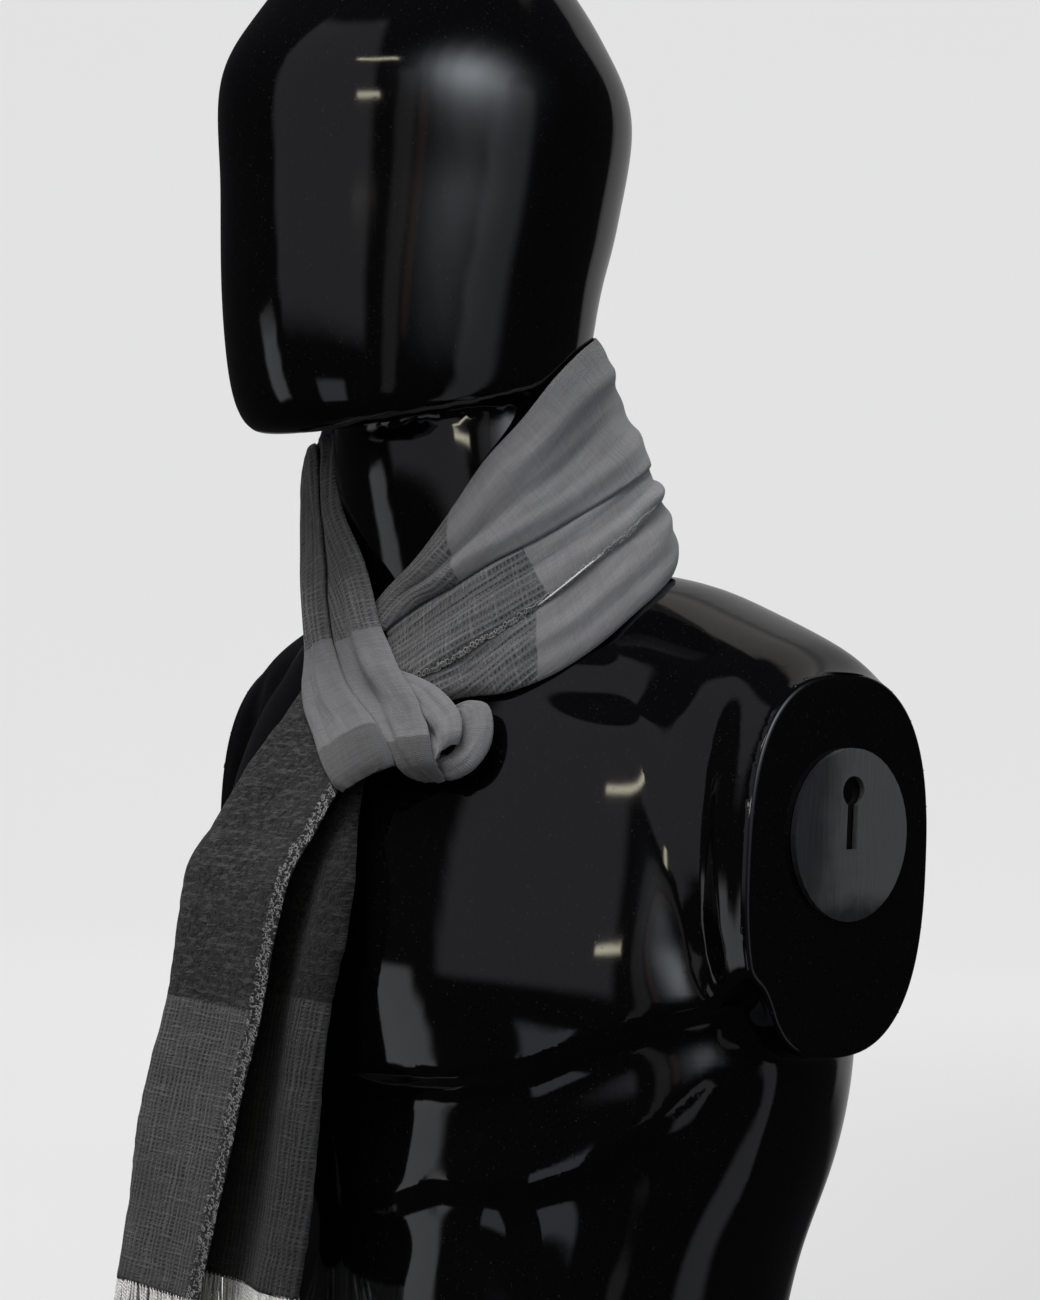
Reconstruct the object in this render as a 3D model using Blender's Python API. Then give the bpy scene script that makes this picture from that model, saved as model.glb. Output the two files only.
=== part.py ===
"""A fringed wool scarf, looped round the neck of a headed display bust that has no limbs.

Metres, +Z up. The bust faces -Y, its left side is +X, and it stands on Z = 0.
Tables are in millimetres.
"""

import math
import random

import bmesh
import bpy
from mathutils import Vector
from mathutils.bvhtree import BVHTree

MM = 0.001

# Colour and roughness of each finish.
FINISHES = {
    "gloss_black": ((0.01, 0.01, 0.012), 0.1),
    "grey_plate": ((0.35, 0.35, 0.36), 0.35),
    "grey_wool": ((0.16, 0.16, 0.17), 0.9),
    "pale_fringe": ((0.5, 0.48, 0.44), 0.9),
}

# ---- the bust -----------------------------------------------------------------
# One row for each level, from the flat base to the crown. "front" and "back" are
# where the level ends on the centre plane, "square" is the superellipse power and
# "tilt" is how much the level climbs for each millimetre towards the back.
BUST_COLUMNS = ("height", "side", "front", "back", "square", "tilt")
BUST_ROWS = (
    (0, 132, -97, 92, 2.4, 0.0),
    (60, 133, -101, 94, 2.4, 0.0),
    (115, 141, -105, 100, 2.4, 0.0),
    (165, 157, -111, 110, 2.4, 0.0),
    (205, 167, -120, 115, 2.3, 0.0),
    (245, 167, -127, 115, 2.3, 0.0),
    (290, 164, -122, 108, 2.2, 0.0),
    (325, 157, -114, 100, 2.2, 0.0),
    (350, 149, -107, 92, 2.1, 0.0),
    (366, 138, -102, 84, 2.0, 0.0),
    (380, 120, -99, 73, 2.0, 0.0),
    (394, 97, -98, 60, 1.95, 0.0),
    (409, 79, -99, 44, 1.95, 0.0),
    (424, 69, -102, 29, 2.0, 0.0),
    (441, 62, -106, 13, 2.0, 0.0),
    (462, 59, -109, 5, 2.0, 0.05),
    (482, 57, -110, 0, 2.0, 0.15),
    (495, 56, -109, -3, 2.0, 0.25),
    (491, 59, -132, -3, 2.0, 0.28),
    (488, 62, -148, -2, 2.1, 0.27),
    (492, 64, -158, 0, 2.2, 0.24),
    (506, 66, -166, 2, 2.2, 0.19),
    (536, 69, -173, 7, 2.1, 0.10),
    (575, 73, -177, 16, 2.0, 0.0),
    (622, 76, -179, 21, 2.0, 0.0),
    (655, 66, -161, 3, 2.0, 0.0),
    (684, 49, -137, -22, 2.0, 0.0),
    (702, 30, -114, -44, 2.0, 0.0),
    (710, 13, -94, -64, 2.0, 0.0),
)
# Sections of the shoulders, from the middle out to the flat arm cut.
GIRDLE_COLUMNS = ("out", "low", "high", "front", "back", "square")
GIRDLE_ROWS = (
    (0, 217, 408, -84, 74, 2.1),
    (60, 217, 417, -79, 76, 2.1),
    (95, 217, 414, -71, 75, 2.2),
    (130, 217, 403, -61, 71, 2.3),
    (165, 216, 389, -52, 66, 2.5),
    (187, 216, 375, -46, 61, 2.6),
)
GIRDLE_POINTS = 28
ARM_PLATE = {"along": 66, "up": 72, "thick": 3, "centre": 11, "height": 309}
KEYHOLE = {"round": 13, "slot": 6.5, "top": 327, "bottom": 303}

# ---- the scarf ----------------------------------------------------------------
CLOTH = 1.2  # wall thickness
SEAM = 0.3  # gap between pieces that meet
NECK_AXIS = -53  # y of the upright line that the band is measured from
BUST_CLEARANCE = 1.0
LAYER_CLEARANCE = 0.5
EXTRA_GAPS = (0, 0.4, 0.8, 1.2, 1.7, 2.2, 3)  # tried in turn until a layer clears the rest
EASING = 12  # rounds of easing a layer over the edges of what is under it
REACH = 16  # how far out a layer looks for what is under it

# The three pleats of the band, from inside the knot, over the left shoulder and round
# the nape to the right side of the neck. Each section has an upper and a lower edge,
# at an angle round the neck (0 in front, 90 at the left side), a radius and a height.
BAND_COLUMNS = (
    "upper_angle", "upper_radius", "upper_height",
    "lower_angle", "lower_radius", "lower_height", "swell",
)
BAND_ROWS = {
    "band_lower": (
        (38, 69, 374, 43, 78, 356, 1),
        (51, 70, 381, 56, 82, 360, 2),
        (63, 73, 393, 66, 92, 363, 2),
        (77, 76, 408, 77, 99, 371, 3),
        (90, 78, 424, 87, 102, 382, 3),
        (104, 80, 441, 97, 106, 397, 3),
        (120, 82, 456, 108, 106, 409, 3),
        (140, 82, 464, 122, 103, 419, 3),
        (160, 80, 467, 142, 100, 427, 3),
        (182, 78, 467, 163, 96, 428, 3),
        (204, 76, 466, 186, 92, 427, 3),
        (224, 75, 465, 209, 90, 428, 3),
        (243, 74, 463, 230, 87, 430, 2),
        (260, 72, 460, 250, 83, 433, 2),
        (275, 70, 454, 268, 76, 437, 1),
    ),
    "band_middle": (
        (20, 57, 392, 32, 67, 366, 1),
        (39, 59, 405, 44, 69, 366, 2),
        (51, 63, 414, 55, 74, 375, 3),
        (63, 67, 425, 67, 79, 387, 3),
        (78, 69, 437, 80, 82, 401, 3),
        (95, 71, 449, 93, 84, 416, 3),
        (111, 73, 460, 107, 85, 430, 3),
        (127, 74, 469, 121, 87, 443, 3),
        (146, 74, 475, 141, 86, 451, 3),
        (166, 72, 479, 162, 84, 455, 3),
        (186, 70, 482, 184, 82, 456, 3),
        (205, 69, 483, 205, 80, 456, 3),
        (226, 68, 483, 227, 79, 455, 3),
        (247, 68, 480, 248, 77, 453, 3),
        (266, 68, 475, 267, 75, 450, 3),
        (283, 67, 469, 283, 73, 447, 3),
        (298, 67, 464, 296, 71, 444, 2),
    ),
    "band_upper": (
        (2, 56, 388, 20, 62, 384, 1),
        (14, 52, 404, 38, 63, 398, 2),
        (33, 58, 418, 51, 68, 406, 3),
        (48, 62, 439, 63, 72, 416, 3),
        (61, 64, 461, 78, 75, 427, 3),
        (75, 65, 479, 95, 76, 440, 2),
        (89, 65, 498, 110, 78, 451, 1),
        (106, 62, 512, 126, 79, 460, 1),
        (127, 58, 520, 145, 79, 466, 2),
        (149, 56, 523, 165, 77, 470, 2),
        (172, 55, 524, 185, 75, 474, 2),
        (196, 55, 522, 205, 73, 476, 2),
        (220, 58, 515, 226, 72, 475, 3),
        (242, 60, 505, 246, 71, 473, 3),
        (261, 62, 495, 264, 70, 470, 3),
        (279, 63, 487, 280, 68, 469, 3),
        (298, 64, 482, 298, 66, 469, 2),
    ),
}

# The loop, from the right side of the neck down to the knot, where its pleats turn under.
# Each section has an inner edge, towards the throat, and an outer one. The band's middle
# and upper pleats run on into the outer and inner pleats of the loop.
LOOP_COLUMNS = (
    "inner_x", "inner_y", "inner_z", "outer_x", "outer_y", "outer_z", "swell",
)
LOOP_ROWS = {
    "loop_outer": (
        (-54, -91, 470, -61, -91, 447, 3),
        (-47, -95, 468, -55, -99, 440, 3),
        (-40, -98, 456, -50, -103, 430, 3),
        (-32, -100, 436, -47, -105, 418, 3),
        (-27, -102, 418, -45, -106, 405, 3),
        (-22, -103, 397, -41, -107, 391, 3),
        (-14, -104, 380, -36, -108, 374, 3),
        (-4, -107, 369, -30, -112, 361, 3),
        (11, -111, 357, -19, -117, 349, 4),
        (30, -117, 348, -3, -123, 338, 4),
        (46, -123, 341, 13, -131, 328, 4),
        (54, -126, 335, 27, -136, 320, 3),
        (56, -125, 331, 32, -135, 317, 2),
    ),
    "loop_inner": (
        (-50, -90, 479, -56, -91, 463, 2),
        (-43, -92, 474, -52, -95, 458, 2),
        (-36, -96, 460, -46, -98, 446, 2),
        (-26, -99, 445, -40, -100, 432, 2),
        (-12, -102, 432, -36, -101, 420, 3),
        (-1, -104, 419, -33, -102, 405, 3),
        (11, -106, 404, -28, -103, 393, 3),
        (24, -108, 389, -21, -105, 380, 3),
        (38, -111, 376, -10, -107, 367, 3),
        (49, -114, 366, 5, -110, 357, 3),
        (60, -117, 357, 22, -115, 349, 3),
        (69, -120, 348, 36, -120, 341, 3),
        (75, -122, 340, 46, -123, 334, 3),
        (78, -121, 333, 54, -122, 328, 2),
        (76, -115, 330, 58, -116, 325, 1),
    ),
    "loop_turn": (
        (30, -107, 377, 10, -105, 372, 1),
        (41, -108, 369, 22, -107, 362, 2),
        (51, -109, 366, 36, -110, 354, 2),
        (62, -111, 363, 48, -113, 348, 2),
        (73, -113, 358, 58, -115, 342, 3),
        (81, -114, 352, 66, -117, 337, 3),
        (85, -116, 345, 71, -119, 334, 3),
        (84, -117, 340, 76, -120, 331, 2),
    ),
    "loop_curl": (
        (66, -106, 349, 70, -104, 356, 1),
        (72, -105, 349, 76, -101, 358, 2),
        (76, -106, 347, 83, -100, 356, 2),
        (78, -107, 343, 88, -101, 348, 3),
        (78, -109, 338, 90, -104, 339, 3),
        (76, -111, 334, 88, -109, 331, 3),
        (72, -113, 332, 82, -113, 326, 3),
        (65, -115, 333, 74, -116, 325, 2),
        (56, -117, 333, 64, -118, 327, 1),
    ),
}

# The tails. Each level has its left and right ends and its front and back on the body's
# axes; the fold pattern runs from the selvedge (across 0) to the far fold (across 1).
TAIL_COLUMNS = ("height", "far", "near", "front", "back")
TAIL_ROWS = {
    "tail_front": (
        (361, -31, 18, -111.5, -105),
        (350, -35, 28, -117, -109.5),
        (338, -38, 34, -125, -116),
        (326, -42, 31, -132, -123),
        (312, -48, 27, -138, -128),
        (298, -54, 23, -144, -131),
        (279, -61, 19, -153, -138),
        (250, -62, 15, -157, -142),
        (220, -67, 10, -158, -143),
        (190, -78, 0, -158, -143),
        (160, -85, -8, -158, -143),
        (130, -90, -18, -157, -142),
        (92, -99, -30, -156, -141),
    ),
    "tail_back": (
        (327, -10, 27, -121, -115.2),
        (315, -16, 29, -125, -117.1),
        (300, -25, 33, -129, -123),
        (278, -33, 41, -136, -128),
        (256, -39, 42, -140, -130),
        (233, -46, 36, -141, -130),
        (208, -53, 31, -141, -129),
        (178, -61, 28, -140, -128),
        (136, -71, 22, -138, -126),
        (99, -80, 14, -137, -124),
    ),
}
FOLD_COLUMNS = ("across", "deep")
FOLDS = {
    "tail_front": (
        (0.00, 0.14), (0.12, 0.02), (0.45, 0.08), (0.80, 0.02), (0.97, 0.10),
        (1.00, 0.26), (0.93, 0.40), (0.60, 0.42), (0.25, 0.38), (0.15, 0.52),
        (0.25, 0.68), (0.55, 0.72), (0.92, 0.80), (0.96, 0.98),
    ),
    "tail_back": (
        (0.80, 0.30), (0.52, 0.40), (0.38, 0.34), (0.24, 0.02), (0.08, 0.02),
        (0.00, 0.20), (0.04, 0.42), (0.30, 0.62), (0.70, 0.60), (0.93, 0.66),
        (0.97, 0.82), (0.85, 0.96), (0.40, 1.00),
    ),
}
ROOT_DEEP = 3  # height of the strip that carries a fringe
STRAND = {"count": 34, "long": 60, "segments": 3, "stray": 1.6}
# The order that the pleats are laid in. A loop pleat may run on from one of the band's.
LAYERS = (
    ("band_lower", None),
    ("band_middle", None),
    ("band_upper", None),
    ("loop_curl", None),
    ("loop_turn", None),
    ("loop_inner", "band_upper"),
    ("loop_outer", "band_middle"),
)
STEPS_A_ROW = 2
PLEAT_ACROSS = 8
TAIL_ALONG = 16
TAIL_ACROSS = 26
ROLL = 2.2  # how far the edges of a pleat roll in
ROLL_START = 0.7
BUST_STEPS = 1  # levels between two rows
BUST_POINTS = 36  # points round a level


def smooth_row(rows, place):
    """The values at a place along a table, on a smooth curve through its rows."""
    last = len(rows) - 1
    index = min(int(place), last - 1)
    t = place - index
    before = rows[max(index - 1, 0)]
    start = rows[index]
    end = rows[index + 1]
    after = rows[min(index + 2, last)]
    values = []
    for a, b, c, d in zip(before, start, end, after):
        leave = 0.5 * (c - a)
        arrive = 0.5 * (d - b)
        values.append(
            (2 * t**3 - 3 * t**2 + 1) * b
            + (t**3 - 2 * t**2 + t) * leave
            + (3 * t**2 - 2 * t**3) * c
            + (t**3 - t**2) * arrive
        )
    return values


def bust_level(row):
    """The points round one level of the bust, in metres."""
    level = dict(zip(BUST_COLUMNS, row))
    centre = (level["front"] + level["back"]) / 2
    depth = (level["back"] - level["front"]) / 2
    power = 2 / level["square"]
    points = []
    for step in range(BUST_POINTS):
        angle = 2 * math.pi * step / BUST_POINTS
        sine, cosine = math.sin(angle), math.cos(angle)
        x = level["side"] * math.copysign(abs(sine) ** power, sine)
        y = -depth * math.copysign(abs(cosine) ** power, cosine)
        points.append(Vector((x, centre + y, level["height"] + level["tilt"] * y)) * MM)
    return points


def make_object(name, points, faces, finish):
    mesh = bpy.data.meshes.new(name)
    mesh.from_pydata([tuple(point) for point in points], [], faces)
    mesh.materials.append(plain_material(f"{name}_{finish}", *FINISHES[finish]))
    mesh.shade_smooth()
    made = bpy.data.objects.new(name, mesh)
    bpy.context.scene.collection.objects.link(made)
    return made


def loft(name, rings, finish):
    """A closed body through rings of equally many points, with a flat cap at each end."""
    count = len(rings[0])
    points = [point for ring in rings for point in ring]
    faces = [tuple(reversed(range(count)))]
    for i in range(len(rings) - 1):
        for j in range(count):
            k = (j + 1) % count
            low, high = i * count, (i + 1) * count
            faces.append((low + j, low + k, high + k, high + j))
    faces.append(tuple(range((len(rings) - 1) * count, len(rings) * count)))
    return make_object(name, points, faces, finish)


def superellipse(half_a, half_b, square, count):
    """Points round a superellipse, anticlockwise from the first axis."""
    points = []
    for step in range(count):
        angle = 2 * math.pi * step / count
        sine, cosine = math.sin(angle), math.cos(angle)
        points.append((
            half_a * math.copysign(abs(cosine) ** (2 / square), cosine),
            half_b * math.copysign(abs(sine) ** (2 / square), sine),
        ))
    return points


def girdle_section(row, side):
    section = dict(zip(GIRDLE_COLUMNS, row))
    depth = (section["back"] - section["front"]) / 2
    rise = (section["high"] - section["low"]) / 2
    ring = superellipse(depth, rise, section["square"], GIRDLE_POINTS)
    middle = (section["front"] + section["back"]) / 2
    level = (section["high"] + section["low"]) / 2
    return [Vector((side * section["out"], middle + y, level + z)) * MM for y, z in ring]


def make_bust(finish):
    count = (len(BUST_ROWS) - 1) * BUST_STEPS
    levels = [bust_level(smooth_row(BUST_ROWS, i / BUST_STEPS)) for i in range(count + 1)]
    bust = loft("bust", levels, finish)
    left_side = [girdle_section(row, 1) for row in GIRDLE_ROWS]
    right_side = [girdle_section(row, -1) for row in reversed(GIRDLE_ROWS[1:])]
    girdle = loft("girdle", right_side + left_side, finish)
    join(bust, girdle, "UNION")
    return bust


def join(target, tool, operation):
    tool.hide_render = True
    tool.display_type = "WIRE"
    modifier = target.modifiers.new(operation.lower(), "BOOLEAN")
    modifier.operation = operation
    modifier.object = tool


def plain_material(name, colour, roughness):
    material = bpy.data.materials.new(name)
    material.use_nodes = True
    shader = material.node_tree.nodes["Principled BSDF"]
    shader.inputs["Base Color"].default_value = (*colour, 1)
    shader.inputs["Roughness"].default_value = roughness
    return material


def round_neck(angle, radius, height):
    turn = math.radians(angle)
    return Vector((radius * math.sin(turn), NECK_AXIS - radius * math.cos(turn), height))


def band_sections(name):
    return [
        (*round_neck(*row[0:3]), *round_neck(*row[3:6]), row[6]) for row in BAND_ROWS[name]
    ]


def smooth_section(sections, place):
    """The two edges and the swell of a pleat at a place along it."""
    values = smooth_row(sections, place)
    return Vector(values[0:3]), Vector(values[3:6]), values[6]


def away_from_neck(point, direction):
    """The direction or its opposite, whichever points away from the neck's axis."""
    outward = Vector((point.x, point.y - NECK_AXIS, 0))
    return direction if direction.dot(outward) > 0 else -direction


def pleat_grid(sections):
    """Middle points of a pleat, with its two edges rolled in and its face swelling out."""
    along = STEPS_A_ROW * (len(sections) - 1)
    sections = [smooth_section(sections, i / STEPS_A_ROW) for i in range(along + 1)]
    grid = []
    for i, (first, second, swell) in enumerate(sections):
        before, after = sections[max(i - 1, 0)], sections[min(i + 1, along)]
        way = (after[0] + after[1]) - (before[0] + before[1])
        out = way.cross(second - first).normalized()
        out = away_from_neck((first + second) / 2, out)
        line = []
        for j in range(PLEAT_ACROSS + 1):
            share = j / PLEAT_ACROSS
            side = abs(2 * share - 1)
            rolled = max(0, (side - ROLL_START) / (1 - ROLL_START)) ** 2
            line.append(first.lerp(second, share) + out * (swell * (1 - side**2) - ROLL * rolled))
        grid.append(line)
    return grid


def grid_normals(grid):
    rows, columns = len(grid) - 1, len(grid[0]) - 1
    normals = []
    for i, line in enumerate(grid):
        normal_line = []
        for j in range(columns + 1):
            along = grid[min(i + 1, rows)][j] - grid[max(i - 1, 0)][j]
            across = line[min(j + 1, columns)] - line[max(j - 1, 0)]
            normal_line.append(along.cross(across).normalized())
        normals.append(normal_line)
    middle = grid[rows // 2][columns // 2]
    outward = away_from_neck(middle, normals[rows // 2][columns // 2])
    if outward.dot(normals[rows // 2][columns // 2]) < 0:
        normals = [[-normal for normal in line] for line in normals]
    return normals


def needed_lift(point, way, under):
    """How far a point has to move out to clear the bodies under it."""
    start = point + way * REACH
    lift = 0.0
    for tree, gap in under:
        hit, facing, _, distance = tree.ray_cast(start * MM, -way, (REACH + gap) * MM)
        if hit is not None and facing.dot(way) > 0:
            lift = max(lift, REACH - distance / MM + gap)
    return lift


def lifts_needed(grid, ways, under):
    """The lift at each point of a grid that also clears the middles of the cells round it."""
    rows, columns = len(grid), len(grid[0])
    need = [[needed_lift(point, way, under) for point in line] for line, way in zip(grid, ways)]
    for i in range(rows - 1):
        for j in range(columns - 1):
            middle = (grid[i][j] + grid[i][j + 1] + grid[i + 1][j] + grid[i + 1][j + 1]) / 4
            lift = needed_lift(middle, (ways[i] + ways[i + 1]).normalized(), under)
            for k, m in ((i, j), (i, j + 1), (i + 1, j), (i + 1, j + 1)):
                need[k][m] = max(need[k][m], lift)
    return need


def settle(grid, under):
    """Lay a grid on the bodies under it, easing it over their edges."""
    rows, columns = len(grid), len(grid[0])
    ways = [sum(line, Vector()).normalized() for line in grid_normals(grid)]
    need = lifts_needed(grid, ways, under)
    lift = need
    for _ in range(EASING):
        lift = [
            [max(need[i][j], mean_round(lift, i, j)) for j in range(columns)] for i in range(rows)
        ]
    settled = []
    for line, lifts, way in zip(grid, lift, ways):
        settled.append([point + way * up for point, up in zip(line, lifts)])
    return settled


def mean_round(lift, i, j):
    """The mean of the lifts round a place, where the grid's edge repeats itself."""
    last_row, last_column = len(lift) - 1, len(lift[0]) - 1
    total = lift[max(i - 1, 0)][j] + lift[min(i + 1, last_row)][j]
    total += lift[i][max(j - 1, 0)] + lift[i][min(j + 1, last_column)]
    return total / 4


def wall(name, grid, normals, finish):
    """A closed wall of cloth about a grid of middle points."""
    rows, columns = len(grid), len(grid[0])
    half = CLOTH / 2
    points = []
    for side in (1, -1):
        for i in range(rows):
            for j in range(columns):
                points.append((grid[i][j] + normals[i][j] * half * side) * MM)
    inner = rows * columns
    faces = []
    for i in range(rows - 1):
        for j in range(columns - 1):
            a, b = i * columns + j, i * columns + j + 1
            c, d = b + columns, a + columns
            faces.append((a, b, c, d))
            faces.append((inner + d, inner + c, inner + b, inner + a))
    border = [i * columns for i in range(rows)]
    border += [(rows - 1) * columns + j for j in range(1, columns)]
    border += [i * columns + columns - 1 for i in range(rows - 2, -1, -1)]
    border += [j for j in range(columns - 2, 0, -1)]
    for a, b in zip(border, border[1:] + border[:1]):
        faces.append((a, b, inner + b, inner + a))
    made = make_object(name, points, faces, finish)
    face_out(made)
    return made


def face_out(made):
    shape = bmesh.new()
    shape.from_mesh(made.data)
    bmesh.ops.recalc_face_normals(shape, faces=shape.faces)
    shape.to_mesh(made.data)
    shape.free()


def tree_of(made):
    graph = bpy.context.evaluated_depsgraph_get()
    graph.update()
    return BVHTree.FromObject(made, graph)


def make_pleats(under, finish):
    """The pleats in the order that they lie on each other, from the bust outwards."""
    laid = {}
    for name, band in LAYERS:
        sections = band_sections(name) if name in BAND_ROWS else list(LOOP_ROWS[name])
        if band:
            sections.insert(0, band_sections(band)[-1])
        for extra in EXTRA_GAPS:
            grid = settle(pleat_grid(sections), [(tree, gap + extra) for tree, gap in under])
            normals = grid_normals(grid)
            if band:
                ends, end_normals = laid[band]
                grid[0] = [a + (b - a).normalized() * SEAM for a, b in zip(ends, grid[1])]
                normals[0] = end_normals
            made = wall(name, grid, normals, finish)
            made_tree = tree_of(made)
            if not any(tree.overlap(made_tree) for tree, _ in under):
                break
            bpy.data.objects.remove(made)
        laid[name] = grid[-1], normals[-1]
        under.append((made_tree, LAYER_CLEARANCE + CLOTH / 2))


def tail_line(name, place, across):
    """The middle line of a tail's folds at one level."""
    level = dict(zip(TAIL_COLUMNS, smooth_row(TAIL_ROWS[name], place)))
    folds = FOLDS[name]
    line = []
    for j in range(across + 1):
        u, v = smooth_row(folds, (len(folds) - 1) * j / across)
        x = level["near"] + (level["far"] - level["near"]) * u
        y = level["front"] + (level["back"] - level["front"]) * v
        line.append(Vector((x, y, level["height"])))
    return line


def make_tail(name, finish):
    """A tail, and under its hem the narrow strip that its fringe hangs from."""
    last = len(TAIL_ROWS[name]) - 1
    grid = [tail_line(name, last * i / TAIL_ALONG, TAIL_ACROSS) for i in range(TAIL_ALONG + 1)]
    make_fringe(name.replace("tail", "fringe"), name, "pale_fringe")
    return wall(name, grid, grid_normals(grid), finish)


def make_fringe(name, tail, finish):
    """A strip that follows the tail's hem, with every second piece of its foot drawn down."""
    hem = tail_line(tail, len(TAIL_ROWS[tail]) - 1, 2 * STRAND["count"])
    drop = Vector((0, 0, SEAM))
    deep = Vector((0, 0, ROOT_DEEP))
    grid = [[p - drop for p in hem], [p - drop - deep for p in hem]]
    made = wall(name, grid, grid_normals(grid), finish)
    shape = bmesh.new()
    shape.from_mesh(made.data)
    foot = min(vertex.co.z for vertex in shape.verts)
    feet = [face for face in shape.faces if max(v.co.z for v in face.verts) < foot + 0.1 * MM]
    feet.sort(key=lambda face: min(hem_place(v.co, hem) for v in face.verts))
    chance = random.Random(len(name))
    for face in feet[::2]:
        draw_strand(shape, face, chance)
    shape.to_mesh(made.data)
    shape.free()
    return made


def hem_place(point, hem):
    """Which of the hem's points lies nearest."""
    return min(range(len(hem)), key=lambda i: (hem[i] * MM - point).xy.length)


def draw_strand(shape, face, chance):
    """One strand: a foot face drawn down in stages, each thinner and a little astray."""
    long = STRAND["long"] * chance.uniform(0.88, 1.0)
    stray = Vector((chance.gauss(0, 1), chance.gauss(0, 0.5), 0)) * STRAND["stray"]
    for stage in range(STRAND["segments"]):
        face = bmesh.ops.extrude_discrete_faces(shape, faces=[face])["faces"][0]
        centre = face.calc_center_median()
        narrow = 0.85 if stage else 0.6
        for vertex in face.verts:
            vertex.co = centre + (vertex.co - centre) * narrow
            vertex.co += (stray - Vector((0, 0, long))) * (MM / STRAND["segments"])


def make_arm_plate(side, finish):
    """An oval plate with a keyhole on one of the flat arm cuts."""
    name = "arm_plate_left" if side > 0 else "arm_plate_right"
    oval = superellipse(ARM_PLATE["along"] / 2, ARM_PLATE["up"] / 2, 2.0, 40)
    plate = prism(name, side, oval, ARM_PLATE["thick"], 0, finish)
    hole = [(y, z + KEYHOLE["top"] - ARM_PLATE["height"]) for y, z in keyhole_outline()]
    cutter = prism(name + "_keyhole", side, hole, ARM_PLATE["thick"] + 4, -2, finish)
    join(plate, cutter, "DIFFERENCE")
    return plate


def keyhole_outline():
    """A round hole with a slot running down from it, about the round hole's centre."""
    radius, half = KEYHOLE["round"] / 2, KEYHOLE["slot"] / 2
    start = math.asin(half / radius)
    points = [(half, KEYHOLE["bottom"] - KEYHOLE["top"])]
    for step in range(17):
        angle = -math.pi / 2 + start + (2 * math.pi - 2 * start) * step / 16
        points.append((radius * math.cos(angle), radius * math.sin(angle)))
    points.append((-half, KEYHOLE["bottom"] - KEYHOLE["top"]))
    return points


def prism(name, side, outline, thick, start, finish):
    """An outline in the plane of an arm cut, drawn out sideways from it."""
    rings = []
    for out in (start, start + thick):
        x = side * (GIRDLE_ROWS[-1][0] + SEAM + out)
        rings.append([
            Vector((x, ARM_PLATE["centre"] + y, ARM_PLATE["height"] + z)) * MM for y, z in outline
        ])
    made = loft(name, rings, finish)
    face_out(made)
    return made


def main():
    for old in list(bpy.data.objects):
        bpy.data.objects.remove(old)
    bust = make_bust("gloss_black")
    for side in (1, -1):
        make_arm_plate(side, "grey_plate")
    under = [(tree_of(bust), BUST_CLEARANCE + CLOTH / 2)]
    for name in TAIL_ROWS:
        tail = make_tail(name, "grey_wool")
        under.append((tree_of(tail), LAYER_CLEARANCE + CLOTH / 2))
    make_pleats(under, "grey_wool")


main()
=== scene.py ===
# A fringed wool scarf, looped round the neck of a glossy display bust that faces -Y.
# Shapes are in millimetres; camera, lights and stage are in metres.
import math
import random

import bmesh
import bpy
from mathutils import Matrix, Vector, noise
from mathutils.bvhtree import BVHTree


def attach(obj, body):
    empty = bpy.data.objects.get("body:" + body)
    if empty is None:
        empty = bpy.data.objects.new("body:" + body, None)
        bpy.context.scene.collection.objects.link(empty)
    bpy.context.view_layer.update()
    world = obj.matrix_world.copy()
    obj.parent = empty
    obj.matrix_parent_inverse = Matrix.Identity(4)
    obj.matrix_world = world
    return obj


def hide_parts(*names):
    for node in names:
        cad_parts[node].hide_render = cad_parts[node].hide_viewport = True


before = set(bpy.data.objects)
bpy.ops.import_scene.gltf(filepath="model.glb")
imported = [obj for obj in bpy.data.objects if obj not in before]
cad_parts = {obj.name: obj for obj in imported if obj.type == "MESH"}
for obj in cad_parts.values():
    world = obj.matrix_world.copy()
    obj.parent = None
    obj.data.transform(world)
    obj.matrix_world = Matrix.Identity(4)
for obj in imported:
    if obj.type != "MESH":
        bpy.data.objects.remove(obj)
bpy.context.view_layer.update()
mm = 0.001
anyTurn = 6.28  # random turns are drawn up to here
neckAxis = -53  # y of the upright line that the band is measured from
sheetLook = {
    "thick": 1.0, "stepsARow": 8, "across": 40, "gap": 0.35,
    "halfWall": 0.6,  # of the CAD's sheets
    "reach": 16.0, "deep": 6.0, "high": 12,  # how far faces are looked for
    "seatRounds": 6, "clearRounds": 10,  # of evening out
}


def smoothRow(rows, place):
    # values at a place along a table, on a smooth curve through its rows
    last = len(rows) - 1
    index = min(int(place), last - 1)
    t = place - index
    before, start = rows[max(index - 1, 0)], rows[index]
    end, after = rows[index + 1], rows[min(index + 2, last)]
    values = []
    for a, b, c, d in zip(before, start, end, after):
        leave, arrive = 0.5 * (c - a), 0.5 * (d - b)
        values.append(
            (2 * t**3 - 3 * t**2 + 1) * b + (t**3 - 2 * t**2 + t) * leave
            + (3 * t**2 - 2 * t**3) * c + (t**3 - t**2) * arrive
        )
    return values


def tableEnd(rows):
    # the last place read along a table
    return len(rows) - 1.0001


def share(value):
    return min(1.0, max(0.0, value))


def meshFrom(name, shape):
    mesh = bpy.data.meshes.new(name)
    shape.to_mesh(mesh)
    shape.free()
    mesh.shade_smooth()
    return mesh


def inScene(name, data):
    thing = bpy.data.objects.new(name, data)
    bpy.context.scene.collection.objects.link(thing)
    return thing


def newPiece(name, shape):
    # a piece that rides on the bust
    piece = inScene(name, meshFrom(name, shape))
    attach(piece, "root")
    return piece


def dress(piece, material):
    piece.data.materials.clear()
    piece.data.materials.append(material)


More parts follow.
